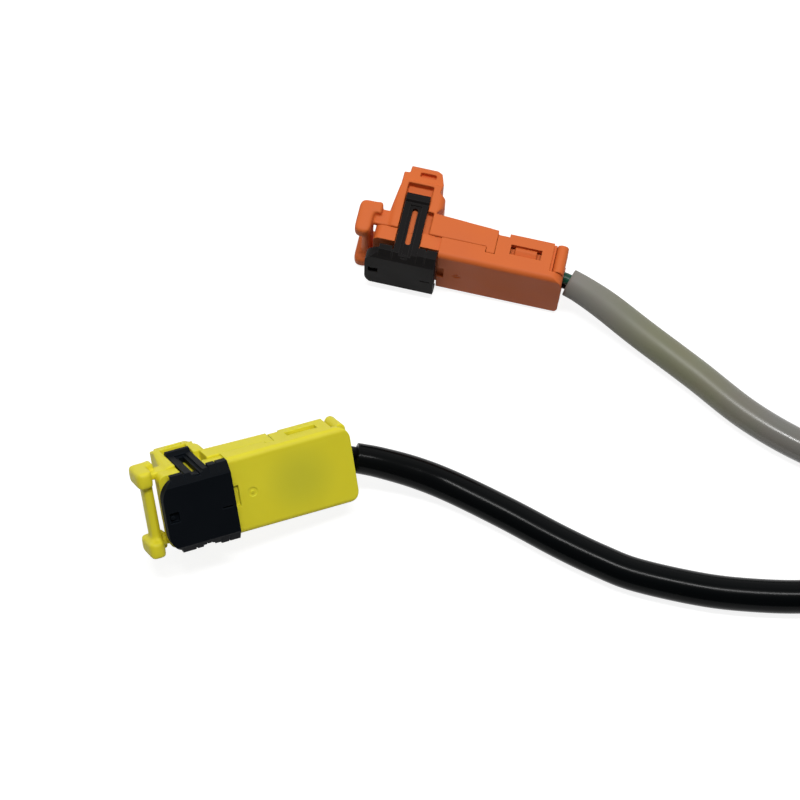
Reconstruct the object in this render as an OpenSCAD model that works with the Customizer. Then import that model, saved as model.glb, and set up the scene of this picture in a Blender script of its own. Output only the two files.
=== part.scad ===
// Airbag connector lead pair of a steering clock spring: two squib connectors on sleeved
// twin leads, joined at the far end by one common four-way plug. Millimetres, +Z up, origin
// on the surface under the middle of the two connectors.
//
// Each squib connector is drawn in its own bench frame: X runs back to the cable exit from
// the rear edge of the lock plate, Y runs across the width from the middle, and Z rises from
// the underside of the housing to its large face. The barrel points down.

/* [Squib connector housing] */
// Length of the housing behind the lock plate
body_l = 16.4; // [15.6:0.1:18]
// Width of the housing across its narrow sides
body_w = 10.3; // [9.8:0.1:11]
// Thickness of the housing at the window
body_t = 5.2; // [5:0.1:5.8]
// Wall thickness of both halves
wall_t = 0.85; // [0.75:0.05:0.95]
// Height of the parting line over the underside
seam_z = 2.4; // [2.3:0.05:2.6]
// Rounding of the long edges of the large face
edge_r = 0.7; // [0.4:0.1:0.8]
// Rounding of the rear corners in plan
rear_r = 1.6; // [1:0.1:2]
// Clearance between fixed mating pieces
fit_gap = 0.05; // [0.03:0.01:0.08]

/* [Cover] */
// Length of the rear block that carries the snap windows
block_l = 5.9; // [5.6:0.1:6.1]
// Length of the notch between that block and the rear end
block_back = 1.9; // [1.8:0.1:2]
// Length of the waist between the lid and the block
waist_l = 1.5; // [1.2:0.1:1.8]
// Depth of the side wall lost between the lid and the block
waist_d = 0.45; // [0.2:0.05:0.7]
// Length of a snap window
window_l = 4.1; // [3.6:0.1:4.4]
// Height of a snap window
window_h = 1.4; // [1.2:0.1:1.6]
// Length of the nose that carries the lock plate
nose_l = 8.8; // [8.6:0.1:8.9]
// Depth of the nose's top below the large face
nose_d = 0.9; // [0.8:0.1:1.1]
// Set-back of the nose's sides from the narrow sides
nose_inset = 0.3; // [0.25:0.05:0.5]
// Length of the pry notch behind the lock plate
pry_l = 0.9; // [0.6:0.05:1.2]
// Width of the pry notch
pry_w = 2.8; // [2:0.2:3.2]
// Diameter of the gate mark on the large face
gate_d = 1.2; // [0.8:0.1:1.4]

/* [Base and barrel] */
// Front end of the lid part of the base
lid_x0 = -1.75; // [-1.9:0.05:-1.6]
// Depth of the lid's underside at its rear end
lid_d1 = 0.2; // [0.1:0.05:0.4]
// Depth of the lid's underside at its front end
lid_d0 = 0.7; // [0.5:0.05:0.9]
// Length of the foot at the lid's rear end
foot_l = 1.15; // [0.9:0.05:1.4]
// Rise of the foot above the parting line
foot_h = 0.8; // [0.5:0.05:0.9]
// Front end of the barrel
barrel_x0 = -7.5; // [-7.6:0.05:-7.4]
// Rear end of the barrel
barrel_x1 = -0.75; // [-0.85:0.05:-0.7]
// Length of the barrel below the housing
barrel_l = 7.1; // [6.8:0.1:7.3]
// Rear end of the barrel's head
head_x1 = -1.4; // [-1.6:0.05:-1.3]
// Rounding of the barrel's corners in plan
barrel_r = 0.9; // [0.6:0.1:1.1]
// Length of the barrel head below the arm channels
head_l = 2.8; // [2.6:0.1:2.9]
// Width of a bar that joins an ear to the barrel
bar_w = 0.9; // [0.7:0.1:1.1]

/* [Ears] */
// Middle of the ears
ear_x = -10.4; // [-10.5:0.1:-10.3]
// Length of an ear
ear_l = 2.1; // [2:0.1:2.3]
// Height of an ear
ear_h = 4.8; // [4.6:0.1:5]
// Width of an ear
ear_w = 2.2; // [2:0.1:2.6]
// Reach of an ear past the narrow side
ear_reach = 0.65; // [0.5:0.05:0.9]
// Length of the hook at an ear's lower end
ear_hook_l = 0.95; // [0.8:0.05:1]
// Height of that hook
ear_hook_h = 1.65; // [1.4:0.05:1.8]
// Length of the bridge
bridge_l = 1.3; // [1.1:0.1:1.4]
// Height of the bridge
bridge_h = 2.2; // [1.8:0.1:2.6]

/* [Lock] */
// Length of the lock plate
plate_l = 9.2; // [9:0.1:9.3]
// Width of the lock plate
plate_w = 9.8; // [9.6:0.1:10]
// Thickness of the lock plate
plate_t = 1.35; // [1.2:0.05:1.5]
// Width of the bevel along each side of the lock plate
bevel_w = 0.9; // [0.7:0.05:1.1]
// Height of that bevel
bevel_h = 0.9; // [0.6:0.05:1]
// Rounding of the lock plate's front corners
plate_r = 2.7; // [2:0.1:3.2]
// Travel of the lock from its raised place to flush
lock_travel = 1.05; // [0.8:0.05:1.15]
// Middle of the arms along the connector
arm_x = -4.25; // [-4.35:0.05:-4.2]
// Width of an arm
arm_w = 3.1; // [2.8:0.1:3.2]
// Thickness of an arm
arm_t = 1; // [0.9:0.05:1.1]
// Reach of the arm tips below the large face
arm_reach = 8.05; // [7.6:0.05:8.1]
// Width of the slot in an arm
arm_slot_w = 0.75; // [0.5:0.05:1]
// Length of the slot in an arm
arm_slot_l = 5.2; // [4.8:0.05:5.3]
// Depth of the groove round that slot
groove_d = 0.3; // [0.2:0.05:0.4]
// Gap round the sliding lock
slide_gap = 0.15; // [0.1:0.01:0.18]

/* [Contacts and wires] */
// Distance between the two contacts
contact_pitch = 2.7; // [2.6:0.05:2.9]
// Bore of a contact box
contact_bore = 1.05; // [1:0.01:1.1]
// Side of a contact box
contact_box = 1.8; // [1.7:0.05:1.85]
// Thickness of the contact strip
strip_t = 0.3; // [0.25:0.01:0.35]
// Width of the contact strip
strip_w = 0.9; // [0.8:0.05:1]
// Diameter of a wire over its insulation
wire_d = 1.5; // [1.4:0.02:1.6]
// Length of the ferrite block
ferrite_l = 5; // [4.5:0.1:5.2]
// Bore for each contact in the ferrite block
ferrite_bore = 1.5; // [1.35:0.01:1.6]

/* [Leads] */
// Outer diameter of the grey sleeve
grey_sleeve_d = 4.15; // [4:0.05:4.2]
// Outer diameter of the black sleeve
black_sleeve_d = 4.3; // [4.1:0.05:4.6]

/* [Common plug] */
// Length of the plug housing
plug_l = 19; // [18:0.5:21]
// Width of the plug housing
plug_w = 13; // [12.5:0.1:14]
// Height of the plug housing
plug_h = 6.6; // [6.4:0.1:7]
// Distance between two plug contacts
plug_pitch = 2.7; // [2.6:0.05:2.9]
// Length of the collars round the sleeves
collar_l = 4; // [3.5:0.1:5]
// Side of a plug contact
plug_contact = 1.7; // [1.5:0.05:1.8]
// Reach of the latch beam over the housing
latch_h = 1.1; // [0.9:0.1:1.4]

/* [Hidden] */
$fn = 32;

// One overrun serves every cut.
over = 1;

// Places of the two connectors, from their bench frames to where they lie.
orange_pos = [11.78, 18.94, 5.63];
orange_rot = [90.56, 1.3, -12.76];
yellow_pos = [-16.93, -16.74, 7.56];
yellow_rot = [42, 10.5, 20.6];
// The rear ends stay where the leads leave, whatever the length of the housings.
exit_x = 16.4;

// Heights and half widths of the housing.
half_w = body_w / 2;
inner_w = half_w - wall_t;
roof_t = wall_t;
nose_z = body_t - nose_d;
nose_half = half_w - nose_inset;
mid_z = body_t / 2;
block_x1 = body_l - block_back;
block_x0 = block_x1 - block_l;
waist_x0 = block_x0 - waist_l;
lid_x1 = waist_x0 - fit_gap;

// The snap windows and the tabs that fill them.
window_x0 = block_x0 + (block_l - window_l) * 0.22;
window_z0 = 1.4;
tab_gap = 0.6;
tab_reach = 0.5;

// The rounded rear posts of the base and the notch ahead of them.
post_r = 0.75;
post_x = body_l - post_r;
post_proud = 0.05;
post_z1 = 3.9;
post_in = 1.7;
notch_skin = 0.3;
pry_d = 0.5;
gate_x = 2.65;
gate_t = 0.08;

// The arms and their channels.
press_gap = 0.1;
arm_out = plate_w / 2 + slide_gap;
arm_in = arm_out - arm_t;
hook_proud = 0.4;
hook_h = 1.35;
arm_x0 = arm_x - arm_w / 2;
arm_x1 = arm_x + arm_w / 2;
channel_x0 = arm_x0 - slide_gap;
channel_x1 = arm_x1 + slide_gap;
channel_in = arm_in - slide_gap;
plate_z0 = nose_z + press_gap + lock_travel;
plate_z1 = plate_z0 + plate_t;
bevel_z = plate_z1 - bevel_h;
arm_z0 = body_t - arm_reach;
head_z1 = head_l - barrel_l;
slot_rise = 0.55;
lug_l = 1;
lug_drop = 0.7;
lug_t = 0.32;
lug_in = nose_half + 0.1;
lip_t = 0.7;
ear_z = 1.95;
bar_z = 0.15;
bridge_x = ear_x + ear_l / 2 - bridge_l / 2;

// The contacts.
contact_x = (barrel_x0 + barrel_x1) / 2 - 0.15 * contact_box;
contact_y = contact_pitch / 2;
box_gap = 0.1;
box_z0 = 0.7 - barrel_l;
box_l = 5.1;
strip_z = mid_z;
crimp_l = 2.2;
crimp_t = 0.22;
wire_x0 = body_l - 3.7;
crimp_x0 = wire_x0 - crimp_l / 4 - fit_gap;
ferrite_x0 = crimp_x0 - wall_t / 2 - ferrite_l;
floor_t = 0.9;

// Where the two wires of a lead leave the housing, and where its sleeve begins.
exit_gap = 0.1;
sides = 8;

// Each wire's middle line in the bench frame, from the crimp to the mouth of the sleeve.
orange_wire = [[wire_x0, 0, mid_z], [body_l - 2, 0, mid_z], [body_l - 0.95, 0, mid_z - 0.05],
               [body_l + 0.33, 0.04, mid_z - 0.07], [body_l + 0.67, 0, mid_z + 0.03]];
yellow_wire = [[wire_x0, 0, mid_z], [body_l - 2, 0, mid_z], [body_l - 0.95, 0, mid_z - 0.05],
               [body_l + 0.35, -0.09, mid_z - 0.75], [body_l + 0.8, -0.31, mid_z - 0.6]];

// Each sleeve's middle line where it lies, from its mouth to the plug.
grey_route = [
    [27.98, 12.54, 5.18], [29.84, 11.5, 4.9], [32.94, 9.6, 4], [37.64, 6.1, 2.8], [44.34, 0.8, 2.2],
    [50.94, -4.9, 2.1], [57.44, -9.1, 2.1], [63.94, -12, 2.1], [71.44, -14, 2.1],
    [79.44, -15, 2.1], [87.44, -15.6, 2.1], [95.44, -16, 2.2], [102.44, -16.2, 2.7],
    [108.44, -16.2, 3.3], [114.44, -16.2, 3.3]
];
black_route = [
    [0.1, -12.23, 5.58], [3.24, -12.64, 4.95], [7.94, -13.58, 3.7], [12.74, -15.2, 2.6],
    [19.54, -18.6, 2.2], [26.24, -22.4, 2.2], [31.34, -25, 2.2], [35.94, -26.9, 2.2],
    [43.94, -28.8, 2.2], [50.44, -29.6, 2.2], [57.44, -29.8, 2.2], [65.44, -29.2, 2.2], [74.44, -27.4, 2.2],
    [83.44, -25, 2.2], [92.44, -23, 2.2], [101.44, -22.2, 2.6], [108.44, -22.2, 3.3],
    [114.44, -22.2, 3.3]
];

// The plug lies at the far ends of the sleeves.
plug_pos = [110.44, -19.2, 0];
sleeve_pitch = 6;
sleeve_seat = 4;
collar_t = 0.9;
plug_wall = 1.2;
plug_mid_z = plug_h / 2;
cavity_gap = 0.1;
plug_contact_l = 7;
plug_mouth = 0.8;
plug_crimp_l = 2;
plug_wire_d = 1.4;
retainer_x = 9;
retainer_l = 2.4;
latch_l = 11;
latch_w = 4.4;
latch_t = 0.9;

orange = [0.85, 0.36, 0.18];
yellow = [0.86, 0.85, 0.2];
black = [0.08, 0.08, 0.09];
grey = [0.55, 0.55, 0.53];
green = [0.1, 0.4, 0.28];
tin = [0.75, 0.75, 0.72];
ferrite_grey = [0.22, 0.21, 0.21];

// A box between two corners.
module block(low, high) { translate(low) cube(high - low); }

// A rectangle with round corners, about its middle.
module round_rect(l, w, r) {
    square([l, w - 2 * r], center = true);
    square([l - 2 * r, w], center = true);
    for (x = [-1, 1], y = [-1, 1]) translate([x * (l / 2 - r), y * (w / 2 - r)]) circle(r);
}

// The same thing on both narrow sides.
module both_sides() {
    children();
    mirror([0, 1, 0]) children();
}

// An outline of X and Z points stretched across the width from y0 to y1.
module across(points, y0, y1) {
    translate([0, y1, 0]) rotate([90, 0, 0]) linear_extrude(y1 - y0) polygon(points);
}

// Rings of a round tube swept along a route, square to its direction at each point.
function unit(v) = v / norm(v);
function heading(route, i) =
    unit(route[min(i + 1, len(route) - 1)] - route[max(i - 1, 0)]);
function ring(centre, dir, r) =
    let (side = unit(cross(dir, [0, 0, 1])), up = cross(side, dir))
    [for (k = [0 : sides - 1]) centre + r * (cos(360 * k / sides) * side + sin(360 * k / sides) * up)];
module tube_along(route, d) {
    count = len(route);
    points = [for (i = [0 : count - 1]) each ring(route[i], heading(route, i), d / 2)];
    walls = [for (i = [0 : count - 2], k = [0 : sides - 1])
        [i * sides + k, i * sides + (k + 1) % sides, (i + 1) * sides + (k + 1) % sides, (i + 1) * sides + k]];
    start = [for (k = [sides - 1 : -1 : 0]) k];
    end = [for (k = [0 : sides - 1]) (count - 1) * sides + k];
    polyhedron(points, concat([start], walls, [end]));
}

// Outside of the housing behind the lock: plan and cross-section cut from each other.
module housing_outside() {
    intersection() {
        linear_extrude(body_t) union() {
            translate([body_l / 2, 0]) round_rect(body_l, body_w, rear_r);
            translate([0, -half_w]) square([body_l / 2, body_w]);
        }
        rotate([90, 0, 90]) linear_extrude(body_l) union() {
            translate([0, body_t / 2]) round_rect(body_w, body_t, edge_r);
            translate([-half_w, 0]) square([body_w, body_t / 2]);
        }
    }
}

// Plan of the nose that lies under the lock plate, open where the arms pass.
module nose_plan() {
    difference() {
        union() {
            translate([-nose_l / 2, 0]) round_rect(nose_l, 2 * nose_half, barrel_r);
            translate([lid_x0, -nose_half]) square([-lid_x0 + fit_gap, 2 * nose_half]);
        }
        both_sides_2d() translate([channel_x0, channel_in]) square([channel_x1 - channel_x0, half_w]);
    }
}
module both_sides_2d() {
    children();
    mirror([0, 1]) children();
}

// Upper half of the housing: large face, side walls with snap windows, and the nose.
module cover_shape() {
    difference() {
        union() {
            housing_outside();
            translate([0, 0, seam_z]) linear_extrude(nose_z - seam_z) nose_plan();
        }
        // Hollow inside
        block([wall_t, -inner_w, -over], [body_l - wall_t, inner_w, body_t - roof_t]);
        block([-nose_l + wall_t, -channel_in + wall_t, -over], [wall_t + over, channel_in - wall_t, nose_z - wall_t]);
        // Room for the lid part of the base and its feet
        block([-over, -half_w - over, -over], [waist_x0, half_w + over, seam_z + fit_gap]);
        both_sides() block([lid_x1 - foot_l - fit_gap, inner_w - over, seam_z],
                           [waist_x0, half_w + over, seam_z + foot_h + fit_gap]);
        // Waist between the lid and the block
        both_sides() block([lid_x1, inner_w - over, -over], [block_x0, half_w + over, waist_d]);
        // Snap windows
        both_sides() block([window_x0, inner_w - over, window_z0],
                           [window_x0 + window_l, half_w + over, window_z0 + window_h]);
        // Notch ahead of the rear posts, and the posts' own room
        both_sides() block([block_x1, inner_w + notch_skin, -over], [body_l + over, half_w + over, post_z1 + fit_gap]);
        both_sides() block([post_x - post_r - fit_gap, half_w - post_in - fit_gap, -over],
                           [body_l + over, half_w + over, post_z1 + fit_gap]);
        // Pry notch behind the lock plate
        block([-over, -pry_w / 2, body_t - pry_d], [pry_l, pry_w / 2, body_t + over]);
        // Sunk ring of the moulding gate
        translate([gate_x, 0, body_t - gate_t]) difference() {
            cylinder(h = over, d = gate_d);
            cylinder(h = over, d = gate_d / 3);
        }
        // Exit for both wires
        for (side = [-1, 1]) translate([body_l - wall_t - over, side * wire_d * 0.55, mid_z]) {
            rotate([0, 90, 0]) cylinder(h = wall_t + 2 * over, d = wire_d + 2 * exit_gap);
            block([0, -wire_d / 2 - exit_gap, -mid_z - over], [wall_t + 2 * over, wire_d / 2 + exit_gap, 0]);
        }
    }
}

module base_shape() {
    lid_in = half_w - wall_t;
    difference() {
        union() {
            // Lid part with its side strips and feet
            across([[lid_x0, -lid_d0], [lid_x1, -lid_d1], [lid_x1, seam_z + foot_h],
                    [lid_x1 - foot_l, seam_z + foot_h], [lid_x1 - foot_l, seam_z], [lid_x0, seam_z]],
                   -half_w, half_w);
            // Floor under the block, up to the rear posts
            block([lid_x1 - over, -inner_w + fit_gap, 0], [body_l - wall_t - fit_gap, inner_w - fit_gap, floor_t]);
            both_sides() rear_post();
            both_sides() snap_tab();
            // Floor of the nose and the barrel
            block([-nose_l + wall_t, -channel_in, floor_t], [lid_x0 + over, channel_in, seam_z]);
            barrel();
            both_sides() ear_and_bar();
            bridge();
        }
        block([lid_x0 + wall_t, -lid_in, floor_t], [lid_x1 + over, lid_in, seam_z + foot_h + over]);
        // Shaft for the contacts through nose and barrel
        for (side = [-1, 1]) translate([contact_x, side * contact_y, 0]) {
            block([-contact_box / 2 - box_gap, -contact_box / 2 - box_gap, box_z0 - box_gap],
                  [contact_box / 2 + box_gap, contact_box / 2 + box_gap, seam_z + over]);
            translate([0, 0, -barrel_l - over]) cylinder(h = barrel_l, d = contact_bore + 2 * box_gap);
        }
        block([contact_x, -contact_y - strip_w / 2 - box_gap, floor_t + wall_t / 2],
              [lid_x0 + 2 * over, contact_y + strip_w / 2 + box_gap, seam_z + over]);
        // Pocket of the shorting clip
        clip_pocket();
    }
}

// Rounded post at each rear corner, seen as a bead on the narrow side.
module rear_post() {
    translate([post_x, half_w + post_proud - post_r, 0]) cylinder(h = post_z1, r = post_r);
    block([post_x - post_r, half_w - post_in, 0], [post_x + post_r, half_w + post_proud - post_r, post_z1]);
    block([post_x - post_r - wall_t, half_w - post_in, 0], [post_x, inner_w - fit_gap, floor_t]);
}

// Spring tab that snaps into a window of the cover.
module snap_tab() {
    x0 = window_x0 + tab_gap;
    x1 = window_x0 + window_l - tab_gap;
    tab_in = inner_w - fit_gap;
    translate([x0, 0, 0]) rotate([90, 0, 90]) linear_extrude(x1 - x0)
        polygon([[tab_in - wall_t / 2, 0], [tab_in, 0], [tab_in, window_z0 + fit_gap],
                 [tab_in + tab_reach, window_z0 + fit_gap], [tab_in + tab_reach, window_z0 + window_h / 3],
                 [tab_in, window_z0 + window_h], [tab_in - wall_t / 2, window_z0 + window_h]]);
}

// Barrel: a stepped head on two pairs of legs, with a channel for each arm of the lock.
module barrel() {
    step = 0.5;
    head_half = half_w - 0.9 * step;
    lip_z0 = head_z1 - lip_t / 2;
    difference() {
        intersection() {
            across([[barrel_x0, seam_z], [barrel_x0, 0], [barrel_x0 + step, -barrel_l * 0.49],
                    [barrel_x0 + 1.2 * step, -barrel_l * 0.56], [barrel_x0 + 1.2 * step, -barrel_l * 0.83],
                    [barrel_x0 + 2.8 * step, -barrel_l * 0.83], [barrel_x0 + 2.8 * step, -barrel_l],
                    [head_x1 - 2.4 * step, -barrel_l], [head_x1 - step, -barrel_l * 0.92],
                    [head_x1, -barrel_l * 0.7], [head_x1 - 0.4 * step, -barrel_l * 0.515],
                    [barrel_x1, -barrel_l * 0.44], [barrel_x1, -barrel_l * 0.26],
                    [barrel_x1 - 1.5 * step, -barrel_l * 0.1], [barrel_x1 - 1.5 * step, floor_t],
                    [lid_x0, floor_t], [lid_x0, seam_z]], -half_w, half_w);
            translate([(barrel_x0 + barrel_x1) / 2, 0, -barrel_l - over])
                linear_extrude(barrel_l + body_t + over)
                    round_rect(barrel_x1 - barrel_x0, body_w, barrel_r);
            // Seen from the front the head tapers below a lip
            translate([barrel_x0, 0, 0]) rotate([90, 0, 90]) linear_extrude(barrel_x1 - barrel_x0)
                polygon([[-half_w, seam_z], [-half_w, lip_z0], [-head_half - step / 2, lip_z0],
                         [-head_half, step - barrel_l], [-head_half + step, -barrel_l],
                         [head_half - step, -barrel_l], [head_half, step - barrel_l],
                         [head_half + step / 2, lip_z0], [half_w, lip_z0], [half_w, seam_z]]);
        }
        both_sides() block([channel_x0, channel_in, head_z1], [channel_x1, half_w + over, body_t]);
        // The rear legs stop short of the lid, so light shows past the arms
        both_sides() block([channel_x1 - over, channel_in, -lid_d0], [lid_x0, half_w + over, body_t]);
        // The front legs are cut back above the bars
        both_sides() block([barrel_x0 - over, channel_in, seam_z - fit_gap], [channel_x0 + over, half_w + over, body_t]);
        // Flank slots of the head
        both_sides() block([contact_x - strip_t, head_half - wall_t, -barrel_l * 0.87],
                           [contact_x + contact_box, half_w + over, -barrel_l * 0.775]);
    }
}

// Finger ear at each front corner, and the bar that ties it to the barrel.
module ear_and_bar() {
    ear_y = half_w + ear_reach - ear_w / 2;
    soft_r = ear_l * 0.17;
    long_l = ear_l + ear_hook_l;
    intersection() {
        translate([ear_x, ear_y + ear_w, ear_z]) rotate([90, 0, 0]) linear_extrude(2 * ear_w) ear_side();
        translate([ear_x + ear_hook_l / 2, ear_y, ear_z]) linear_extrude(2 * ear_h, center = true)
            round_rect(long_l, ear_w, soft_r);
        translate([ear_x - long_l, ear_y, ear_z]) rotate([90, 0, 90]) linear_extrude(3 * long_l)
            round_rect(ear_w, ear_h, soft_r);
    }
    block([ear_x, nose_half - bar_w, bar_z], [barrel_x0 + wall_t, nose_half, seam_z - fit_gap]);
}

// An ear seen from the narrow side, its lower end hooked back towards the barrel.
module ear_side() {
    corner_r = ear_l * 0.4;
    hook_r = ear_hook_h * 0.25;
    round_rect(ear_l, ear_h, corner_r);
    translate([0, -ear_h / 2]) square([ear_l / 2 + ear_hook_l - hook_r, ear_hook_h]);
    translate([ear_l / 2 + ear_hook_l - hook_r, -ear_h / 2 + hook_r]) circle(hook_r);
    translate([ear_l / 2 + ear_hook_l - 2 * hook_r, -ear_h / 2 + hook_r]) square([2 * hook_r, ear_hook_h - hook_r]);
}

// Bridge between the ears, with a raised rib along it.
module bridge() {
    reach = half_w + ear_reach - ear_w + ear_l * 0.4;
    block([bridge_x - bridge_l / 2, -reach, floor_t], [bridge_x + bridge_l / 2, reach, floor_t + bridge_h]);
    block([bridge_x - bridge_l / 6, -reach, floor_t], [bridge_x + bridge_l / 6, reach, floor_t + bridge_h * 1.15]);
}

// Pocket for the shorting clip beside the contacts.
module clip_pocket() {
    block([contact_x + contact_box / 2 + box_gap - over / 2, -contact_y, box_z0 + 1.2],
          [contact_x + contact_box / 2 + 1.15, contact_y, seam_z + over]);
}

// Sliding lock: a plate over the nose and a slotted arm down each side of the barrel.
module lock_shape() {
    // Gate nub in the notch where each arm starts
    both_sides() block([arm_x - arm_slot_w / 3, arm_in, bevel_z - fit_gap],
                       [arm_x + arm_slot_w / 3, plate_w / 2 - bevel_w / 4, bevel_z + bevel_h / 3]);
    difference() {
        union() {
            intersection() {
                translate([0, 0, plate_z0]) linear_extrude(plate_t) union() {
                    translate([-plate_l / 2 - slide_gap, 0]) round_rect(plate_l, plate_w, plate_r);
                    translate([-plate_l / 2 - slide_gap, -plate_w / 2]) square([plate_l / 2, plate_w]);
                }
                translate([-plate_l - over, 0, 0]) rotate([90, 0, 90]) linear_extrude(plate_l + 2 * over)
                    polygon([[-plate_w / 2, plate_z0], [plate_w / 2, plate_z0], [plate_w / 2, bevel_z],
                             [plate_w / 2 - bevel_w, plate_z1], [bevel_w - plate_w / 2, plate_z1],
                             [-plate_w / 2, bevel_z]]);
            }
            both_sides() {
                arm();
                lug(-slide_gap - 1.35 * lug_l, 1.35 * lug_l, lug_drop, lug_t);
                lug(-slide_gap - 2.5 * lug_l, lug_l, lug_drop, lug_t);
                lug(-slide_gap - 2.5 * lug_l, 2.5 * lug_l, lug_drop * 0.8, lug_t / 2);
                lug(arm_x0 - 1.9 * lug_l, 1.7 * lug_l, lug_drop * 0.45, lug_t / 2);
            }
        }
        both_sides() arm_slot();
        // Moulded slit through the plate beside its middle
        block([-1.45 * plate_t, -0.4 * plate_t, plate_z0 - over], [-0.4 * plate_t, -0.22 * plate_t, plate_z1 + over]);
        // Sunk probe window with a stud in it
        difference() {
            block([-plate_l + 0.25 * plate_t, -0.45 * plate_t, plate_z1 - plate_t / 2],
                  [-plate_l + 1.2 * plate_t, 0.55 * plate_t, plate_z1 + over]);
            translate([-plate_l + 0.6 * plate_t, 0, plate_z0]) cylinder(h = plate_t * 0.8, d = plate_t * 0.4);
        }
    }
}

// Lug that skirts the side of the nose, its upper face bevelled like the plate.
module lug(x, l, drop, t) {
    translate([x, 0, 0]) rotate([90, 0, 90]) linear_extrude(l)
        polygon([[lug_in - lug_t, plate_z0], [lug_in, plate_z0], [lug_in, plate_z0 - drop],
                 [lug_in + t, plate_z0 - drop], [lug_in + t, bevel_z - fit_gap],
                 [plate_w / 2 - bevel_w, plate_z1 - fit_gap]]);
}

// One arm with its hook, drawn from the side.
module arm() {
    translate([arm_x0, 0, 0]) rotate([90, 0, 90]) linear_extrude(arm_w)
        polygon([[arm_in, arm_z0 + hook_h / 3], [arm_in + arm_t / 4, arm_z0],
                 [arm_out, arm_z0], [arm_out + hook_proud, arm_z0 + hook_h / 3],
                 [arm_out + hook_proud, arm_z0 + hook_h * 0.8], [arm_out, arm_z0 + hook_h],
                 [arm_out, bevel_z], [plate_w / 2 - bevel_w + fit_gap, plate_z1 - fit_gap], [arm_in, plate_z0 + plate_t / 2]]);
}

// Slot through an arm, with a shallow groove round it that leaves a rail at each edge.
module arm_slot() {
    slot_z0 = arm_z0 + hook_h + slot_rise;
    groove_w = arm_w * 0.5;
    translate([arm_x, half_w + over, slot_z0 + arm_slot_l / 2]) rotate([90, 0, 0])
        linear_extrude(arm_t + wall_t + over) round_rect(arm_slot_w, arm_slot_l, arm_slot_w / 2.01);
    block([arm_x - groove_w / 2, arm_out - groove_d, slot_z0 - slot_rise / 2], [arm_x + groove_w / 2, half_w + over, plate_z1 + over]);
    // The slot runs out through the edge of the plate as a blind notch
    block([arm_x - arm_slot_w / 2, arm_out - 2 * groove_d, slot_z0 + arm_slot_l / 2], [arm_x + arm_slot_w / 2, half_w + over, plate_z1 + over]);
}

// Contact: a box with a bore, a strip bent towards the wire, and a crimp.
module contact_shape(side) {
    translate([0, side * contact_y, 0]) {
        difference() {
            block([contact_x - contact_box / 2, -contact_box / 2, box_z0],
                  [contact_x + contact_box / 2, contact_box / 2, box_z0 + box_l]);
            translate([contact_x, 0, box_z0 - over]) cylinder(h = box_l, d = contact_bore);
        }
        block([contact_x - strip_t / 2, -strip_w / 2, box_z0 + box_l - strip_t],
              [contact_x + strip_t / 2, strip_w / 2, strip_z + strip_t / 2]);
        block([contact_x - strip_t / 2, -strip_w / 2, strip_z - strip_t / 2],
              [wire_x0 - 2 * fit_gap, strip_w / 2, strip_z + strip_t / 2]);
        difference() {
            translate([crimp_x0, 0, mid_z]) rotate([0, 90, 0])
                cylinder(h = crimp_l, d = wire_d + 2 * crimp_t);
            translate([wire_x0 - fit_gap, 0, mid_z]) rotate([0, 90, 0])
                cylinder(h = crimp_l, d = wire_d + fit_gap);
            block([crimp_x0 + crimp_l * 0.45, -wire_d, mid_z], [crimp_x0 + crimp_l * 0.6, wire_d, body_t]);
        }
    }
}

// Shorting clip: a folded leaf whose two fingers press on the contacts.
module clip_shape() {
    back_x = contact_x + contact_box / 2 + 0.95;
    bottom_z = box_z0 + 1.3;
    block([back_x, -contact_y + box_gap, bottom_z], [back_x + strip_t / 2, contact_y - box_gap, floor_t]);
    block([contact_x + contact_box / 2 + fit_gap, -contact_y + box_gap, bottom_z],
          [back_x + strip_t / 2, contact_y - box_gap, bottom_z + strip_t / 2]);
    both_sides() block([contact_x + contact_box / 2 + fit_gap, contact_y - strip_w, bottom_z],
                       [contact_x + contact_box / 2 + fit_gap + strip_t / 2, contact_y - box_gap, box_z0 + box_l]);
}

// Ferrite block that chokes both contacts.
module ferrite_shape() {
    ferrite_half = inner_w - wall_t;
    difference() {
        translate([ferrite_x0, 0, mid_z + floor_t / 2 - roof_t / 2]) rotate([90, 0, 90])
            linear_extrude(ferrite_l) round_rect(2 * ferrite_half, body_t - floor_t - roof_t - 2 * fit_gap, edge_r / 2);
        both_sides() translate([ferrite_x0 - over, contact_y, mid_z]) rotate([0, 90, 0])
            cylinder(h = ferrite_l + 2 * over, d = ferrite_bore);
    }
}

// One wire, its route shifted to its side and drawn together towards the sleeve.
module wire_shape(route, side) {
    last = len(route) - 1;
    tube_along([for (i = [0 : last])
        let (spread = i == 0 || i == 1 ? contact_y : wire_d * 0.55)
        route[i] + [0, side * spread, 0]], wire_d);
}

module place_orange() { translate(orange_pos) rotate(orange_rot) translate([exit_x - body_l, 0, 0]) children(); }
module place_yellow() { translate(yellow_pos) rotate(yellow_rot) translate([exit_x - body_l, 0, 0]) children(); }

module orange_cover() { color(orange) place_orange() cover_shape(); }
module orange_base() { color(orange) place_orange() base_shape(); }
module orange_lock() { color(black) place_orange() lock_shape(); }
module orange_contact(side) { color(tin) place_orange() contact_shape(side); }
module orange_shorting_clip() { color(tin) place_orange() clip_shape(); }
module orange_ferrite() { color(ferrite_grey) place_orange() ferrite_shape(); }
module orange_wire_left() { color(green) place_orange() wire_shape(orange_wire, 1); }
module orange_wire_right() { color(black) place_orange() wire_shape(orange_wire, -1); }
module grey_sleeve() { color(grey) tube_along(grey_route, grey_sleeve_d); }

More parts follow.
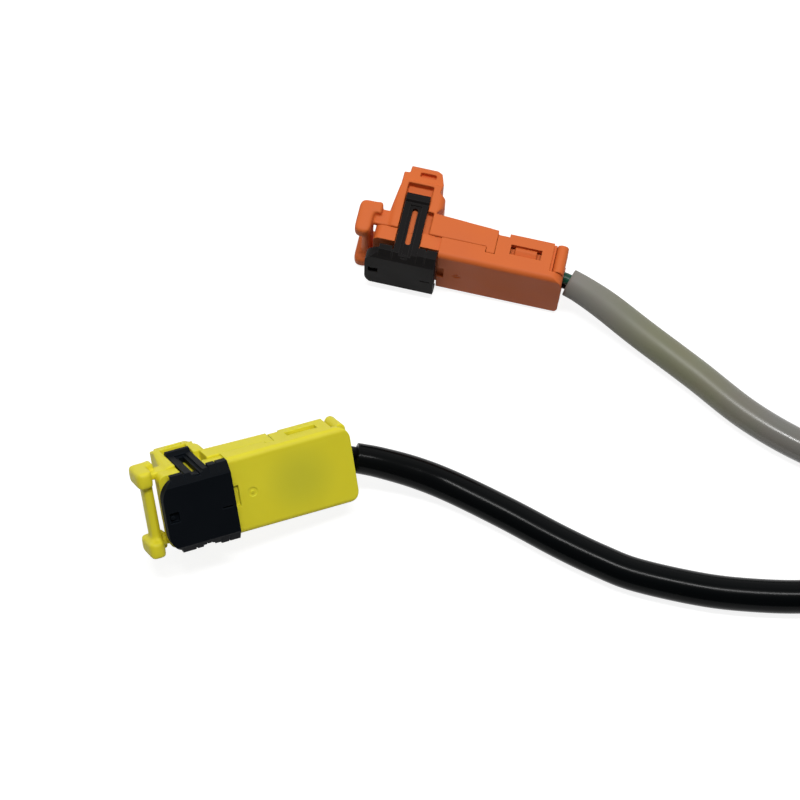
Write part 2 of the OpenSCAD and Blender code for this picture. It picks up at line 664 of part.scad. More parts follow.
module yellow_cover() { color(yellow) place_yellow() cover_shape(); }
module yellow_base() { color(yellow) place_yellow() base_shape(); }
module yellow_lock() { color(black) place_yellow() lock_shape(); }
module yellow_contact(side) { color(tin) place_yellow() contact_shape(side); }
module yellow_shorting_clip() { color(tin) place_yellow() clip_shape(); }
module yellow_ferrite() { color(ferrite_grey) place_yellow() ferrite_shape(); }
module yellow_wire(side) { color(black) place_yellow() wire_shape(yellow_wire, side); }
module black_sleeve() { color(black) tube_along(black_route, black_sleeve_d); }

// Places of the plug's four contacts across its width.
function plug_y(i) = (i - 2.5) * plug_pitch;

module plug_housing() {
    body_x0 = collar_l;
    color(black) translate(plug_pos) difference() {
        union() {
            translate([body_x0, 0, plug_mid_z]) rotate([90, 0, 90])
                linear_extrude(plug_l - collar_l) round_rect(plug_w, plug_h, edge_r);
            for (side = [-1, 1]) translate([0, side * sleeve_pitch / 2, plug_mid_z]) rotate([0, 90, 0])
                cylinder(h = collar_l + over, d = black_sleeve_d + 2 * collar_t);
            // Latch beam
            across([[plug_l - latch_l, plug_h - latch_t / 2], [plug_l - latch_l, plug_h + latch_h],
                    [plug_l - 2 * latch_h, plug_h + latch_h], [plug_l, plug_h + latch_h / 3],
                    [plug_l, plug_h - latch_t / 2]], -latch_w / 2, latch_w / 2);
        }
        // Seats of the sleeves and the room behind the contacts
        for (side = [-1, 1]) translate([-over, side * sleeve_pitch / 2, plug_mid_z]) rotate([0, 90, 0])
            cylinder(h = sleeve_seat + over, d = black_sleeve_d + 2 * fit_gap);
        for (i = [1 : 4]) translate([0, plug_y(i), plug_mid_z]) {
            side = plug_contact + 2 * cavity_gap;
            block([sleeve_seat - over / 2, -side / 2, -side / 2], [plug_l - plug_mouth, side / 2, side / 2]);
            block([plug_l - plug_mouth - over / 2, -plug_contact / 4, -plug_contact / 4],
                  [plug_l + over, plug_contact / 4, plug_contact / 4]);
        }
        // Slot of the retainer, open below
        block([retainer_x, -plug_w / 2 + plug_wall, -over], [retainer_x + retainer_l, plug_w / 2 - plug_wall, plug_wall]);
        // Slot under the latch beam
        block([plug_l - latch_l + plug_wall, -latch_w, plug_h - latch_t / 4],
              [plug_l - latch_h, latch_w, plug_h + latch_h - latch_t]);
    }
}

module plug_retainer() {
    color(yellow) translate(plug_pos)
        block([retainer_x + fit_gap, -plug_w / 2 + plug_wall + fit_gap, 0],
              [retainer_x + retainer_l - fit_gap, plug_w / 2 - plug_wall - fit_gap, plug_wall - fit_gap]);
}

// Plug contact: a box with a square mouth, and a crimp behind it.
module plug_contact_at(i) {
    back_x = plug_l - plug_mouth - plug_contact_l;
    color(tin) translate(plug_pos + [0, plug_y(i), plug_mid_z]) difference() {
        union() {
            block([back_x, -plug_contact / 2, -plug_contact / 2],
                  [plug_l - plug_mouth, plug_contact / 2, plug_contact / 2]);
            translate([back_x - plug_crimp_l, 0, 0]) rotate([0, 90, 0])
                cylinder(h = plug_crimp_l + over / 2, d = plug_contact);
        }
        block([back_x + plug_crimp_l, -plug_contact / 4, -plug_contact / 4],
              [plug_l, plug_contact / 4, plug_contact / 4]);
    }
}

// Wire ends between the sleeves' seats and the crimps.
module plug_wire_ends() {
    crimp_x = plug_l - plug_mouth - plug_contact_l - plug_crimp_l;
    color(black) for (i = [1 : 4]) translate(plug_pos + [sleeve_seat, plug_y(i), plug_mid_z])
        rotate([0, 90, 0]) cylinder(h = crimp_x - sleeve_seat, d = plug_wire_d);
}

orange_cover();
orange_base();
orange_lock();
orange_contact(1);  // orange_contact_left
orange_contact(-1);  // orange_contact_right
orange_shorting_clip();
orange_ferrite();
orange_wire_left();
orange_wire_right();
grey_sleeve();
yellow_cover();
yellow_base();
yellow_lock();
yellow_contact(1);  // yellow_contact_left
yellow_contact(-1);  // yellow_contact_right
yellow_shorting_clip();
yellow_ferrite();
yellow_wire(1);  // yellow_wire_left
yellow_wire(-1);  // yellow_wire_right
black_sleeve();
plug_housing();
plug_retainer();
plug_contact_at(1);  // plug_contact_1
plug_contact_at(2);  // plug_contact_2
plug_contact_at(3);  // plug_contact_3
plug_contact_at(4);  // plug_contact_4
plug_wire_ends();
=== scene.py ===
"""Two airbag squib connectors, orange and yellow, on sleeved leads that share a common plug."""
import math

import bmesh
import bpy
from mathutils import Euler, Matrix, Vector


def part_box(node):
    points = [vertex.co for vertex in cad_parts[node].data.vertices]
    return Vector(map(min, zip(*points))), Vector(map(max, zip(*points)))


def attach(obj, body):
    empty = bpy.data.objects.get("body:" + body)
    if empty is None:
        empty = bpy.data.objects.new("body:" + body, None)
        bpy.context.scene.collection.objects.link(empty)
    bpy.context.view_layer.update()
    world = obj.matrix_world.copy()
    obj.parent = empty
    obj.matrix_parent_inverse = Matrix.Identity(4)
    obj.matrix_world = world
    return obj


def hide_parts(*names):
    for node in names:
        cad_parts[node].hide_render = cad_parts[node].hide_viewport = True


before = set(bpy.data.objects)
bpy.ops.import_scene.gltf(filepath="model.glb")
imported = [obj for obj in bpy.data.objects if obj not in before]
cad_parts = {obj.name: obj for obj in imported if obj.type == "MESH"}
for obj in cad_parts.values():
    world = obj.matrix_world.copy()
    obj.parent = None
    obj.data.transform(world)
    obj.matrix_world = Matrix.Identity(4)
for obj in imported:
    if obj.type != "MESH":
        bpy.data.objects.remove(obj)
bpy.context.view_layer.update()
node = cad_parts

# The viewpoint: a long lens that looks down on the connectors from 68 degrees above the table.
# It stands 400 mm from the table's middle, so the near connector is hardly larger than the far one.
viewpoint = bpy.data.objects.new("viewpoint", bpy.data.cameras.new("viewpoint"))
viewpoint.data.lens = 137.5
viewpoint.data.sensor_width = 36
viewpoint.data.clip_start = 0.01
viewpoint.location = (0.00585, -0.15185, 0.37087)
viewpoint.rotation_euler = (math.radians(22), 0, 0)
bpy.context.scene.collection.objects.link(viewpoint)
bpy.context.scene.camera = viewpoint

# Grey sleeve of the orange connector's lead: soft vinyl tube, cut square, pinched a little where it
# was cut. It leaves the connector over its two wires, sinks to the table and runs into the plug.
grey_line = [
    (27.98, 12.54, 5.18), (29.84, 11.5, 4.9), (32.94, 9.6, 4), (37.64, 6.1, 2.8), (44.34, 0.8, 2.2),
    (50.94, -4.9, 2.1), (57.44, -9.1, 2.1), (63.94, -12, 2.1), (71.44, -14, 2.1),
    (79.44, -15, 2.1), (87.44, -15.6, 2.1), (95.44, -16, 2.2), (102.44, -16.2, 2.7),
    (108.44, -16.2, 3.3), (114.44, -16.2, 3.3)
]
grey_diameter = 0.00415


def laid_line(points, step=0.0004):
    """One smooth line through the lead's points, given in millimetres, as closely spaced metres."""
    points = [Vector(p) / 1000 for p in points]
    points = [2 * points[0] - points[1]] + points + [2 * points[-1] - points[-2]]
    line = []
    for a, b, c, d in zip(points, points[1:], points[2:], points[3:]):
        count = max(2, round((c - b).length / step))
        for k in range(count):
            t = k / count
            line.append(0.5 * ((2 * b) + (c - a) * t + (2 * a - 5 * b + 4 * c - d) * t * t
                               + (3 * b - a - 3 * c + d) * t ** 3))
    return line + [points[-2]]


def vinyl_sleeve(name, line, radius, pinch, wall=0.00045, mouth=0.004, sides=40):
    """A tube along the line, open at its first end to the depth of the mouth. radius gives the
    tube's radius at a distance from the mouth, and pinch how much it is squeezed there."""
    mesh = bmesh.new()
    up = Vector((0, 0, 1))
    distance = 0
    rings = []

    def ring(centre, along, half, squeeze):
        flat = along.cross(up).normalized()
        rise = flat.cross(along)
        turns = [math.tau * k / sides for k in range(sides)]
        return [mesh.verts.new(centre + half * (math.cos(a) * (1 - squeeze) * flat
                                                + math.sin(a) * (1 + squeeze * 0.6) * rise)) for a in turns]

    start = (line[1] - line[0]).normalized()
    # The bore of the mouth, from its bottom outward.
    for depth in (mouth, mouth * 0.5, wall * 0.4):
        rings.append(ring(line[0] + start * depth, start, radius(0) - wall, pinch(0)))
    # The cut end, with its two edges broken: depths and cuts are shares of the wall.
    for depth, cut in ((0.1, 0.85), (0, 0.6), (0, 0.25), (0.12, 0)):
        rings.append(ring(line[0] + start * wall * depth, start, radius(0) - wall * cut, pinch(0)))
    for i in range(1, len(line)):
        along = (line[min(i + 1, len(line) - 1)] - line[i - 1]).normalized()
        distance += (line[i] - line[i - 1]).length
        rings.append(ring(line[i], along, radius(distance), pinch(distance)))
    for low, high in zip(rings, rings[1:]):
        for k in range(sides):
            mesh.faces.new((low[k], low[(k + 1) % sides], high[(k + 1) % sides], high[k]))
    mesh.faces.new(list(reversed(rings[0])))
    mesh.faces.new(rings[-1])
    bmesh.ops.recalc_face_normals(mesh, faces=mesh.faces)
    data = bpy.data.meshes.new(name)
    mesh.to_mesh(data)
    mesh.free()
    for face in data.polygons:
        face.use_smooth = True
    sleeve = bpy.data.objects.new(name, data)
    bpy.context.scene.collection.objects.link(sleeve)
    return sleeve


def soft_vinyl(name, tones, span, roughness, shine):
    """Extruded vinyl: a smooth skin with faint clouds and dust. It changes through its three tones,
    and from one roughness to the other, over the span in X."""
    material = bpy.data.materials.new(name)
    material.use_nodes = True
    nodes, links = material.node_tree.nodes, material.node_tree.links
    shader = nodes["Principled BSDF"]
    place = nodes.new("ShaderNodeTexCoord")
    apart = nodes.new("ShaderNodeSeparateXYZ")
    links.new(place.outputs["Object"], apart.inputs[0])
    stretch = nodes.new("ShaderNodeMapRange")
    stretch.inputs["From Min"].default_value, stretch.inputs["From Max"].default_value = span
    links.new(apart.outputs["X"], stretch.inputs["Value"])
    blend = nodes.new("ShaderNodeValToRGB")
    blend.color_ramp.interpolation = "EASE"
    blend.color_ramp.elements[0].color = (*tones[0], 1)
    blend.color_ramp.elements[1].color = (*tones[2], 1)
    blend.color_ramp.elements.new(0.45).color = (*tones[1], 1)
    links.new(stretch.outputs["Result"], blend.inputs["Fac"])
    cloud = nodes.new("ShaderNodeTexNoise")
    cloud.inputs["Scale"].default_value = 260
    cloud.inputs["Detail"].default_value = 5
    links.new(place.outputs["Object"], cloud.inputs["Vector"])
    mottled = nodes.new("ShaderNodeMix")
    mottled.data_type = "RGBA"
    mottled.blend_type = "MULTIPLY"
    mottled.inputs["Factor"].default_value = 0.12
    links.new(blend.outputs["Color"], mottled.inputs["A"])
    links.new(cloud.outputs["Color"], mottled.inputs["B"])
    links.new(mottled.outputs["Result"], shader.inputs["Base Color"])
    gloss = nodes.new("ShaderNodeMapRange")
    gloss.inputs["To Min"].default_value, gloss.inputs["To Max"].default_value = roughness
    links.new(stretch.outputs["Result"], gloss.inputs["Value"])
    smear = nodes.new("ShaderNodeMath")
    smear.operation = "MULTIPLY_ADD"
    smear.inputs[1].default_value = 0.12
    links.new(cloud.outputs["Fac"], smear.inputs[0])
    links.new(gloss.outputs["Result"], smear.inputs[2])
    links.new(smear.outputs["Value"], shader.inputs["Roughness"])
    dust = nodes.new("ShaderNodeTexNoise")
    dust.inputs["Scale"].default_value = 3200
    links.new(place.outputs["Object"], dust.inputs["Vector"])
    bump = nodes.new("ShaderNodeBump")
    bump.inputs["Strength"].default_value = 0.05
    bump.inputs["Distance"].default_value = 0.00005
    links.new(dust.outputs["Fac"], bump.inputs["Height"])
    links.new(bump.outputs["Normal"], shader.inputs["Normal"])
    shader.inputs["Specular IOR Level"].default_value = shine
    return material


grey_path = laid_line(grey_line)
grey_sleeve = vinyl_sleeve(
    "grey_vinyl_sleeve", grey_path,
    radius=lambda d: grey_diameter / 2,
    pinch=lambda d: 0.14 * math.exp(-(d / 0.005) ** 2))
grey_sleeve.data.materials.append(
    soft_vinyl("grey_vinyl", [(0.245, 0.236, 0.21), (0.205, 0.205, 0.13), (0.185, 0.176, 0.16)],
               (0.028, 0.057), (0.56, 0.14), 0.35))
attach(grey_sleeve, "leads")
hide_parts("grey_sleeve")

# Black sleeve of the yellow connector's lead: the same kind of vinyl tube, a little fatter as it
# goes, blacker and glossier. It bends gently along the table beside the grey one.
black_line = [
    (0.1, -12.23, 5.58), (3.24, -12.64, 4.95), (7.94, -13.58, 3.7), (12.74, -15.2, 2.6),
    (19.54, -18.6, 2.2), (26.24, -22.4, 2.2), (31.34, -25, 2.2), (35.94, -26.9, 2.2),
    (43.94, -28.8, 2.2), (50.44, -29.6, 2.2), (57.44, -29.8, 2.2), (65.44, -29.2, 2.2),
    (74.44, -27.4, 2.2), (83.44, -25, 2.2), (92.44, -23, 2.2), (101.44, -22.2, 2.6),
    (108.44, -22.2, 3.3), (114.44, -22.2, 3.3)
]
black_path = laid_line(black_line)
black_sleeve = vinyl_sleeve(
    "black_vinyl_sleeve", black_path,
    radius=lambda d: 0.00203 + 0.00012 * min(1, d / 0.03),
    pinch=lambda d: 0.04 * math.exp(-(d / 0.005) ** 2))
black_sleeve.data.materials.append(
    soft_vinyl("black_vinyl", [(0.003, 0.0034, 0.0036), (0.002, 0.0026, 0.003), (0.002, 0.0026, 0.003)],
               (0, 0.06), (0.12, 0.14), 0.07))
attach(black_sleeve, "leads")
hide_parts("black_sleeve")

# Wires: stranded copper in thin insulation, a green and a black one on the orange connector and two
# black ones on the yellow. They leave the rear of each housing side by side and enter the sleeve.


def bench_frame(place, turns):
    """The frame in which a connector is drawn, lying where the connector lies."""
    return Matrix.Translation(place) @ Euler([math.radians(turn) for turn in turns]).to_matrix().to_4x4()


def insulated_wire(name, line, diameter, material):
    """A round wire along the line."""
    curve = bpy.data.curves.new(name, "CURVE")
    curve.dimensions = "3D"
    curve.bevel_depth = diameter / 2
    curve.bevel_resolution = 6
    curve.use_fill_caps = True
    spline = curve.splines.new("POLY")
    spline.points.add(len(line) - 1)
    for point, place in zip(spline.points, line):
        point.co = (*place, 1)
    curve.materials.append(material)
    wire = bpy.data.objects.new(name, curve)
    bpy.context.scene.collection.objects.link(wire)
    return wire


wire_diameter = 0.0015
half_wire_gap = 0.00077


def wire_line(bench, path, side):
    """From the crimp through the housing's rear wall, then 3 mm into the sleeve. Side is 1 or -1."""
    across = bench.to_3x3() @ Vector((0, 1, 0))
    inside = ((12.7, side * 1.35, 2.6), (14.4, side * 1.35, 2.6), (15.45, side * 0.825, 2.56),
              (16.5, side * 0.81, 2.54))
    line = [bench @ (Vector(p) / 1000) for p in inside]
    line += [path[k] + across * side * half_wire_gap for k in (2, 8)]
    return laid_line([p * 1000 for p in line], 0.0002)


green_pvc = soft_vinyl("green_pvc", [(0.006, 0.08, 0.046)] * 3, (0, 0.06), (0.3, 0.3), 0.3)
black_pvc = soft_vinyl("black_pvc", [(0.006, 0.006, 0.007)] * 3, (0, 0.06), (0.3, 0.3), 0.2)
orange_bench = bench_frame((0.01178, 0.01894, 0.00563), (90.56, 1.3, -12.76))
yellow_bench = bench_frame((-0.01693, -0.01674, 0.00756), (42, 10.5, 20.6))
for wire, bench, path, side, skin, slot in (
        ("orange_wire_left", orange_bench, grey_path, 1, green_pvc, "green_insulation"),
        ("orange_wire_right", orange_bench, grey_path, -1, black_pvc, "black_insulation"),
        ("yellow_wire_left", yellow_bench, black_path, 1, black_pvc, "black_insulation"),
        ("yellow_wire_right", yellow_bench, black_path, -1, black_pvc, "black_insulation")):
    strand = insulated_wire(f"{wire}_skin", wire_line(bench, path, side), wire_diameter, skin)
    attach(strand, "leads")
    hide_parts(wire)

# Orange housing: cover and base of glass-filled nylon, moulded with a fine satin skin and snapped
# together along the parting line. Its hollow takes the contacts and the choke.


def moulded_nylon(name, colour, shade, roughness, shine, edge=0.00014, lit_edge=1.25):
    """Moulded plastic: an eroded satin skin whose colour drifts a little, and softly rounded edges
    that are painted a shade lighter than the faces, mostly a painted highlight with a little wear."""
    material = bpy.data.materials.new(name)
    material.use_nodes = True
    nodes, links = material.node_tree.nodes, material.node_tree.links
    shader = nodes["Principled BSDF"]
    place = nodes.new("ShaderNodeTexCoord")
    drift = nodes.new("ShaderNodeTexNoise")
    drift.inputs["Scale"].default_value = 190
    drift.inputs["Detail"].default_value = 3
    links.new(place.outputs["Object"], drift.inputs["Vector"])
    colours = nodes.new("ShaderNodeMix")
    colours.name = "body_colour"
    colours.data_type = "RGBA"
    colours.inputs["A"].default_value = (*shade, 1)
    colours.inputs["B"].default_value = (*colour, 1)
    links.new(drift.outputs["Fac"], colours.inputs["Factor"])
    rounding = nodes.new("ShaderNodeBevel")
    rounding.samples = 6
    rounding.inputs["Radius"].default_value = edge
    flat = nodes.new("ShaderNodeNewGeometry")
    lean = nodes.new("ShaderNodeVectorMath")
    lean.operation = "DOT_PRODUCT"
    links.new(rounding.outputs["Normal"], lean.inputs[0])
    links.new(flat.outputs["Normal"], lean.inputs[1])
    # The rounded edges are painted lighter: a painted highlight, with a little wear.
    wear_and_highlight_mask = nodes.new("ShaderNodeMapRange")
    wear_and_highlight_mask.inputs["From Min"].default_value = 0.99
    wear_and_highlight_mask.inputs["From Max"].default_value = 0.8
    links.new(lean.outputs["Value"], wear_and_highlight_mask.inputs["Value"])
    wear_and_painted_highlight = nodes.new("ShaderNodeMix")
    wear_and_painted_highlight.data_type = "RGBA"
    wear_and_painted_highlight.inputs["B"].default_value = (*[min(0.85, c * lit_edge) for c in colour], 1)
    links.new(wear_and_highlight_mask.outputs["Result"], wear_and_painted_highlight.inputs["Factor"])
    links.new(colours.outputs["Result"], wear_and_painted_highlight.inputs["A"])
    links.new(wear_and_painted_highlight.outputs["Result"], shader.inputs["Base Color"])
    gloss = nodes.new("ShaderNodeMapRange")
    gloss.inputs["To Min"].default_value = roughness * 0.85
    gloss.inputs["To Max"].default_value = roughness * 1.2
    links.new(drift.outputs["Fac"], gloss.inputs["Value"])
    links.new(gloss.outputs["Result"], shader.inputs["Roughness"])
    grain = nodes.new("ShaderNodeTexNoise")
    grain.inputs["Scale"].default_value = 5200
    grain.inputs["Detail"].default_value = 4
    links.new(place.outputs["Object"], grain.inputs["Vector"])
    bump = nodes.new("ShaderNodeBump")
    bump.inputs["Strength"].default_value = 0.12
    bump.inputs["Distance"].default_value = 0.00003
    links.new(grain.outputs["Fac"], bump.inputs["Height"])
    links.new(rounding.outputs["Normal"], bump.inputs["Normal"])
    links.new(bump.outputs["Normal"], shader.inputs["Normal"])
    shader.inputs["Specular IOR Level"].default_value = shine
    return material


def let_light_in_and_paint_shade(material, weight, core, painted_shade_colour, reach):
    """Natural nylon lets some light into its walls. Its duller patch is painted shade, taken to stand
    for the dark choke behind the wall: a change of colour that fades over the reach, near to far."""
    nodes, links = material.node_tree.nodes, material.node_tree.links
    shader = nodes["Principled BSDF"]
    shader.inputs["Subsurface Weight"].default_value = weight
    shader.inputs["Subsurface Radius"].default_value = (1, 0.9, 0.2)
    shader.inputs["Subsurface Scale"].default_value = 0.0009
    place = nodes.new("ShaderNodeTexCoord")
    away = nodes.new("ShaderNodeVectorMath")
    away.operation = "DISTANCE"
    away.inputs[1].default_value = core
    links.new(place.outputs["Object"], away.inputs[0])
    shade_fade = nodes.new("ShaderNodeMapRange")
    shade_fade.interpolation_type = "SMOOTHSTEP"
    shade_fade.inputs["From Min"].default_value, shade_fade.inputs["From Max"].default_value = reach
    shade_fade.inputs["To Min"].default_value = 1
    shade_fade.inputs["To Max"].default_value = 0
    links.new(away.outputs["Value"], shade_fade.inputs["Value"])
    body = nodes["body_colour"]
    old = body.outputs["Result"].links[0].to_socket
    painted_choke_shade = nodes.new("ShaderNodeMix")
    painted_choke_shade.data_type = "RGBA"
    painted_choke_shade.inputs["B"].default_value = (*painted_shade_colour, 1)
    links.new(shade_fade.outputs["Result"], painted_choke_shade.inputs["Factor"])
    links.new(body.outputs["Result"], painted_choke_shade.inputs["A"])
    links.new(painted_choke_shade.outputs["Result"], old)


def middle_of(name):
    """Middle of a solid's box."""
    low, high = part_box(name)
    return (Vector(low) + Vector(high)) / 2


def finish_solid(name, material):
    """The solid keeps its shape and takes the finish on every face."""
    solid = node[name]
    solid.data.materials.clear()
    solid.data.materials.append(material)


orange_nylon = moulded_nylon("orange_nylon", (0.72, 0.158, 0.031), (0.64, 0.127, 0.024), 0.6, 0.3)
finish_solid("orange_cover", orange_nylon)


# How far ahead of the bench's origin the barrel's soft front begins and the ears begin, and the
# length over which the ears grow fully soft, in metres.
barrel_front = 0.0063
ear_root = 0.0088
ear_blend = 0.0006


def out_of_the_mould(name, bench, material, grain=0.00008):
    """The solid with the softness of a moulding: its edges are a little round, the front edges of the
    barrel rounder, and the ears as round as pebbles. It keeps within about 0.3 mm of the solid's skin."""
    moulding = node[name].copy()
    moulding.data = node[name].data.copy()
    moulding.name = f"{name}_moulding"
    bpy.context.scene.collection.objects.link(moulding)

    def settle():
        seen = moulding.evaluated_get(bpy.context.evaluated_depsgraph_get())
        data = bpy.data.meshes.new_from_object(seen)
        moulding.modifiers.clear()
        moulding.data = data

    skin = moulding.modifiers.new("skin", "REMESH")
    skin.mode = "VOXEL"
    skin.voxel_size = grain
    settle()
    soft = moulding.vertex_groups.new(name="soft")
    home = bench.inverted()
    for vertex in moulding.data.vertices:
        ahead = -(home @ vertex.co).x
        if ahead > barrel_front:
            soft.add([vertex.index], min(1, max(0.15, (ahead - ear_root) / ear_blend)), "REPLACE")
    round_ears = moulding.modifiers.new("round_ears", "SMOOTH")
    round_ears.vertex_group = "soft"
    round_ears.iterations = 200
    round_edges = moulding.modifiers.new("round_edges", "SMOOTH")
    round_edges.iterations = 5
    thin = moulding.modifiers.new("thin", "DECIMATE")
    thin.ratio = 0.16
    settle()
    moulding.data.materials.clear()
    moulding.data.materials.append(material)
    for face in moulding.data.polygons:
        face.use_smooth = True
    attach(moulding, "leads")
    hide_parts(name)


out_of_the_mould("orange_base", orange_bench, orange_nylon)


def window_backing(name, bench, side, material):
    """Inner wall of the base behind a snap window, with a lead-in along its upper edge. It is drawn in
    the bench frame, in millimetres."""
    profile = ((3.5, 0.95), (3.76, 0.95), (3.76, 3.9), (3.66, 4.2), (3.5, 4.2))
    mesh = bmesh.new()
    ends = []
    for x in (9.0, 14.1):
        corners = [Vector((x, side * y, z)) / 1000 for y, z in profile]
        ends.append([mesh.verts.new(bench @ corner) for corner in corners])
    for k in range(len(profile)):
        follow = (k + 1) % len(profile)
        mesh.faces.new((ends[0][k], ends[0][follow], ends[1][follow], ends[1][k]))
    mesh.faces.new(ends[0])
    mesh.faces.new(list(reversed(ends[1])))
    bmesh.ops.recalc_face_normals(mesh, faces=mesh.faces)
    data = bpy.data.meshes.new(name)
    mesh.to_mesh(data)
    mesh.free()
    data.materials.append(material)
    wall = bpy.data.objects.new(name, data)
    bpy.context.scene.collection.objects.link(wall)
    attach(wall, "leads")


for side, hand in ((1, "left"), (-1, "right")):
    window_backing(f"orange_inner_wall_{hand}", orange_bench, side, orange_nylon)

# Yellow housing: the same two halves in natural yellow nylon, which lets some light into its walls.
# The colour is what tells the installer which stage of the airbag it serves.
yellow_nylon = moulded_nylon("yellow_nylon", (0.78, 0.70, 0.024), (0.72, 0.635, 0.018), 0.55, 0.4)
# The duller patch over the choke is painted shade.
let_light_in_and_paint_shade(yellow_nylon, 0.25, middle_of("yellow_ferrite"), (0.60, 0.565, 0.024), (0.0018, 0.0064))
finish_solid("yellow_cover", yellow_nylon)
out_of_the_mould("yellow_base", yellow_bench, yellow_nylon)
for side, hand in ((1, "left"), (-1, "right")):
    window_backing(f"yellow_inner_wall_{hand}", yellow_bench, side, yellow_nylon)

# Push-in locks: one black moulding on each connector, a plate with two slotted arms that slides down
#  its channels beside the barrel once the connector is seated. The orange connector's is a satin grey
#  black; the yellow one's is a darker, bluer copy of the same black, whose extra darkness is painted shade.
satin_black_nylon = moulded_nylon(
    "satin_black_nylon", (0.0155, 0.0145, 0.0145), (0.012, 0.011, 0.011), 0.55, 0.03, lit_edge=3)
# Darker copy of the lock's black nylon: its extra darkness is painted shade.
black_nylon_painted_shade = moulded_nylon(
    "black_nylon_painted_shade", (0.0032, 0.0045, 0.0065), (0.0022, 0.0034, 0.005), 0.55, 0.05, lit_edge=3.5)
finish_solid("orange_lock", satin_black_nylon)
finish_solid("yellow_lock", black_nylon_painted_shade)

# Contacts and shorting clips: stamped from thin tinned strip and folded, one pair in each housing.


def tinned_strip(name, colour, roughness):
    """Stamped metal with a dull plated skin and fine rolling marks."""
    material = bpy.data.materials.new(name)
    material.use_nodes = True
    nodes, links = material.node_tree.nodes, material.node_tree.links
    shader = nodes["Principled BSDF"]
    shader.inputs["Metallic"].default_value = 1
    place = nodes.new("ShaderNodeTexCoord")
    marks = nodes.new("ShaderNodeTexNoise")
    marks.inputs["Scale"].default_value = 900
    links.new(place.outputs["Object"], marks.inputs["Vector"])
    colours = nodes.new("ShaderNodeMix")
    colours.data_type = "RGBA"
    colours.inputs["A"].default_value = (*[c * 0.8 for c in colour], 1)
    colours.inputs["B"].default_value = (*colour, 1)
    links.new(marks.outputs["Fac"], colours.inputs["Factor"])
    links.new(colours.outputs["Result"], shader.inputs["Base Color"])
    gloss = nodes.new("ShaderNodeMapRange")
    gloss.inputs["To Min"].default_value = roughness * 0.7
    gloss.inputs["To Max"].default_value = roughness * 1.3
    links.new(marks.outputs["Fac"], gloss.inputs["Value"])
    links.new(gloss.outputs["Result"], shader.inputs["Roughness"])
    return material


tin = tinned_strip("tinned_copper_strip", (0.72, 0.71, 0.66), 0.32)
for colour in ("orange", "yellow"):
    for part in ("contact_left", "contact_right", "shorting_clip"):
        finish_solid(f"{colour}_{part}", tin)

# Ferrite blocks: pressed and fired choke bodies that the two contacts run through.
fired_ferrite = tinned_strip("fired_ferrite", (0.05, 0.05, 0.052), 0.6)
fired_ferrite.node_tree.nodes["Principled BSDF"].inputs["Metallic"].default_value = 0
for colour in ("orange", "yellow"):
    finish_solid(f"{colour}_ferrite", fired_ferrite)

# Common plug: a black four-way housing with a latch beam, its contacts locked by a yellow
# retainer from below. Both sleeves end in its collars.
finish_solid("plug_housing", satin_black_nylon)
finish_solid("plug_wire_ends", black_pvc)
finish_solid("plug_retainer", yellow_nylon)
for way in (1, 2, 3, 4):
    finish_solid(f"plug_contact_{way}", tin)


# The table: one pale sheet that curves up behind the connectors, white to the eye and lit as plain
# paper, so that it still takes their soft shadow. Where it rises, diffuse rays pass it, so that the
# bright air behind it lights the connectors.


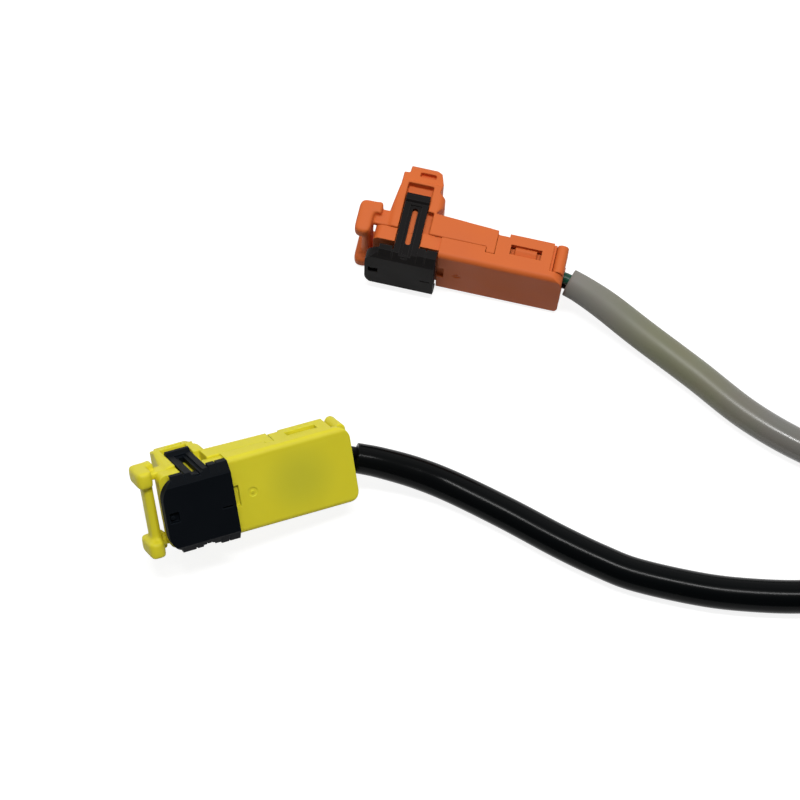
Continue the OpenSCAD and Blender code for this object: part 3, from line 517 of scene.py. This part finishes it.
def paper_sweep():
    """The sheet, flat just under the connectors and swept up far behind them."""
    mesh = bmesh.new()
    bend_start, bend_radius, clearance = 0.6, 0.4, 0.00001
    profile = [(-1.2, 0), (bend_start, 0)]
    turns = [math.radians(8 * k) for k in range(1, 12)]
    profile += [(bend_start + bend_radius * math.sin(a), bend_radius - bend_radius * math.cos(a))
                for a in turns]
    profile.append((1.0, 1.4))
    rows = [[mesh.verts.new((x, y, z - clearance)) for x in (-1.5, 1.5)] for y, z in profile]
    for low, high in zip(rows, rows[1:]):
        mesh.faces.new((low[0], low[1], high[1], high[0]))
    data = bpy.data.meshes.new("paper_sweep")
    mesh.to_mesh(data)
    mesh.free()
    sweep = bpy.data.objects.new("paper_sweep", data)
    bpy.context.scene.collection.objects.link(sweep)
    paper = bpy.data.materials.new("white_paper")
    paper.use_nodes = True
    nodes, links = paper.node_tree.nodes, paper.node_tree.links
    nodes.remove(nodes["Principled BSDF"])
    matt = nodes.new("ShaderNodeBsdfDiffuse")
    matt.inputs["Color"].default_value = (0.3, 0.3, 0.3, 1)
    lift = nodes.new("ShaderNodeEmission")
    lift.inputs["Color"].default_value = (1, 1, 1, 1)
    ray = nodes.new("ShaderNodeLightPath")
    seen = ray.outputs["Is Camera Ray"]
    for also in ("Is Glossy Ray", "Is Transmission Ray"):
        either = nodes.new("ShaderNodeMath")
        either.operation = "MAXIMUM"
        links.new(seen, either.inputs[0])
        links.new(ray.outputs[also], either.inputs[1])
        seen = either.outputs["Value"]
    level = nodes.new("ShaderNodeMath")
    level.operation = "MULTIPLY"
    level.inputs[1].default_value = 0.86
    links.new(seen, level.inputs[0])
    links.new(level.outputs["Value"], lift.inputs["Strength"])
    both = nodes.new("ShaderNodeAddShader")
    links.new(matt.outputs["BSDF"], both.inputs[0])
    links.new(lift.outputs["Emission"], both.inputs[1])
    place = nodes.new("ShaderNodeNewGeometry")
    apart = nodes.new("ShaderNodeSeparateXYZ")
    links.new(place.outputs["Position"], apart.inputs[0])
    risen = nodes.new("ShaderNodeMath")
    risen.operation = "GREATER_THAN"
    risen.inputs[1].default_value = 0.01
    links.new(apart.outputs["Z"], risen.inputs[0])
    let_through = nodes.new("ShaderNodeMath")
    let_through.operation = "MULTIPLY"
    links.new(risen.outputs["Value"], let_through.inputs[0])
    links.new(ray.outputs["Is Diffuse Ray"], let_through.inputs[1])
    clear = nodes.new("ShaderNodeBsdfTransparent")
    sheet = nodes.new("ShaderNodeMixShader")
    links.new(let_through.outputs["Value"], sheet.inputs["Fac"])
    links.new(both.outputs["Shader"], sheet.inputs[1])
    links.new(clear.outputs["BSDF"], sheet.inputs[2])
    links.new(sheet.outputs["Shader"], nodes["Material Output"].inputs["Surface"])
    sweep.data.materials.append(paper)
    return sweep


paper_sweep()

# Studio light: a long narrow soft box straight overhead, and air that is brighter behind the
# connectors than before them, so that the faces turned to the viewer are the darker ones.


def soft_box(name, place, aim, width, height, power):
    """A rectangular lamp that faces the point it is aimed at."""
    lamp = bpy.data.lights.new(name, "AREA")
    lamp.shape = "RECTANGLE"
    lamp.size, lamp.size_y, lamp.energy = width, height, power
    holder = bpy.data.objects.new(name, lamp)
    holder.location = place
    holder.rotation_euler = (Vector(aim) - Vector(place)).to_track_quat("-Z", "Y").to_euler()
    bpy.context.scene.collection.objects.link(holder)


soft_box("overhead_box", (0.05, -0.01, 0.8), (0.05, -0.01, 0), 0.42, 0.07, 4.1)

sky = bpy.data.worlds.new("studio_air")
sky.use_nodes = True
bpy.context.scene.world = sky
sky_nodes, sky_links = sky.node_tree.nodes, sky.node_tree.links
air = sky_nodes["Background"]
air.inputs["Color"].default_value = (1, 1, 1, 1)
toward = sky_nodes.new("ShaderNodeTexCoord")
split = sky_nodes.new("ShaderNodeSeparateXYZ")
sky_links.new(toward.outputs["Generated"], split.inputs[0])
backward = sky_nodes.new("ShaderNodeMapRange")
backward.inputs["From Min"].default_value = -0.7
backward.inputs["From Max"].default_value = 0.9
backward.inputs["To Min"].default_value = 0.07
backward.inputs["To Max"].default_value = 0.8
sky_links.new(split.outputs["Y"], backward.inputs["Value"])
sky_links.new(backward.outputs["Result"], air.inputs["Strength"])

bpy.context.scene.view_settings.view_transform = "Standard"
